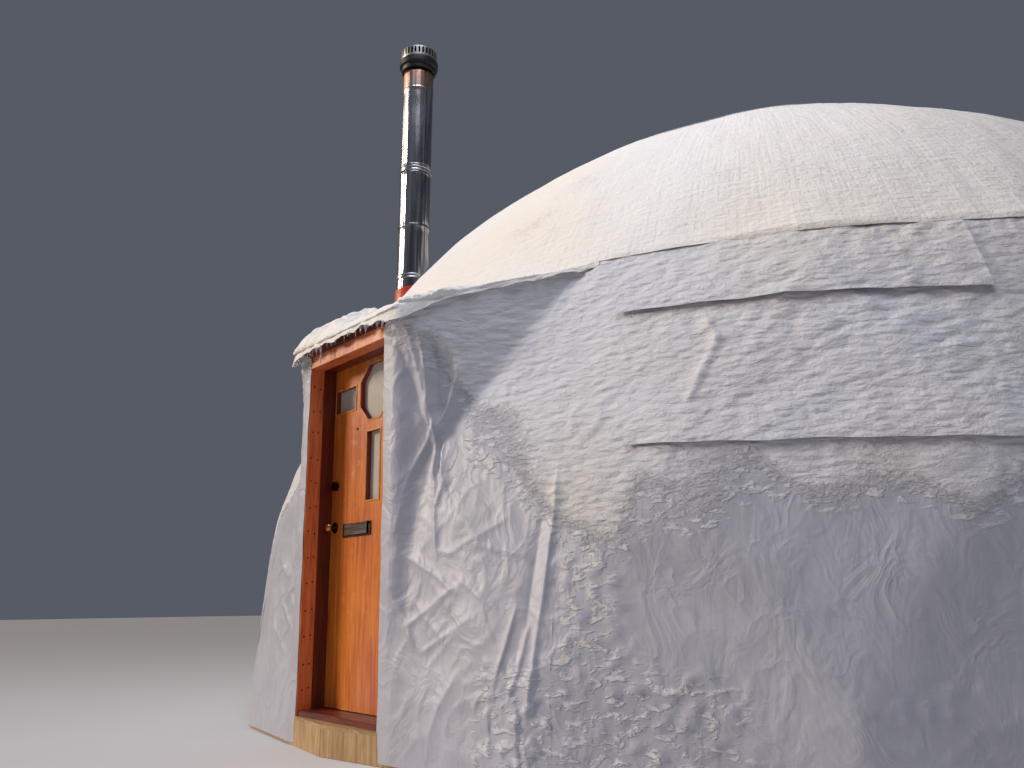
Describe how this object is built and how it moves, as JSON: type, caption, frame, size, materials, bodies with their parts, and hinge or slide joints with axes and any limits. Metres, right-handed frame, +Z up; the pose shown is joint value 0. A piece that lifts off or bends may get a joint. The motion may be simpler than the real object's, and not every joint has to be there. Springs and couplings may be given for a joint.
{
  "type": "geodesic dome",
  "caption": "Fabric-covered geodesic dome on a low timber platform, with a framed doorway, an inward-opening door with glazed lights, side flaps and a flue",
  "frame": {"origin": "on the ground, on the dome's axis", "axes": "+Z up, the door faces -Y, +X to the right seen from the front"},
  "size_m": [8.9858, 8.9812, 5.3995],
  "materials": {
    "cover": "semi-gloss coated fabric with crusted frost",
    "roof_cover": "semi-gloss coated fabric with streaked frost",
    "flap": "semi-gloss coated fabric",
    "stained_board": "stained, satin",
    "dark_trim": "dark red stain",
    "door_wood": "amber varnish over grained wood",
    "lumber": "raw softwood",
    "plywood": "raw plywood",
    "steel_frame": "galvanised",
    "stainless": "bright with heat tint",
    "cap_metal": "galvanised, sooty",
    "boot_rubber": "red silicone",
    "reeded_glass": "vertical reeds",
    "bronze": "dark bronze",
    "flap_metal": "worn",
    "brass": "worn"
  },
  "bodies": {
    "building": {"platform_rim": "lumber", "floor_joists": "lumber", "floor_deck": "plywood", "base_curb": "lumber", "base_ring_frame": "steel_frame", "lower_wall_frame": "steel_frame", "upper_wall_frame": "steel_frame", "roof_frame": "steel_frame", "crown_frame": "steel_frame", "doorway_struts": "steel_frame", "wall_cover_front_right": "cover", "wall_cover_right": "cover", "wall_cover_back_right": "cover", "wall_cover_back_left": "cover", "wall_cover_left": "cover", "wall_cover_front_left": "cover", "doorway_cover_right": "cover", "doorway_cover_left": "cover", "doorway_roof_cover": "roof_cover", "crown_cover": "roof_cover", "roof_cover_front": "roof_cover", "roof_cover_front_right": "roof_cover", "roof_cover_back_right": "roof_cover", "roof_cover_back_left": "roof_cover", "roof_cover_front_left": "roof_cover", "rough_frame": "lumber", "surround_boards": "stained_board", "door_jamb": "dark_trim", "threshold": "dark_trim", "fascia_board": "dark_trim", "hinges_on_jamb": "brass", "chimney_pipe": "stainless", "chimney_bands": "stainless", "chimney_cap": "cap_metal", "chimney_boot": "boot_rubber", "window_flaps": "flap"},
    "door": {"door_leaf": "door_wood", "window_panes": "reeded_glass", "window_beads": "door_wood", "mail_slot_plate": "bronze", "door_furniture": "bronze", "hinges_on_leaf": "brass"},
    "flap": {"mail_flap": "flap_metal"},
    "knob": {"door_knob": "brass"}
  },
  "joints": [
    {"name": "door_hinge", "type": "hinge", "parent": "building", "child": "door", "pos_m": [0.4545, -4.18154, 1.2], "axis": [0, 0, -1], "range_deg": [0, 100]},
    {"name": "knob_turn", "type": "hinge", "parent": "door", "child": "knob", "pos_m": [-0.39, -4.232, 1.2403], "axis": [0, 1, 0], "range_deg": [-50, 50]},
    {"name": "mail_flap_hinge", "type": "hinge", "parent": "door", "child": "flap", "pos_m": [-0.127, -4.24284, 1.2493], "axis": [-1, 0, 0], "range_deg": [0, 80]}
  ]
}
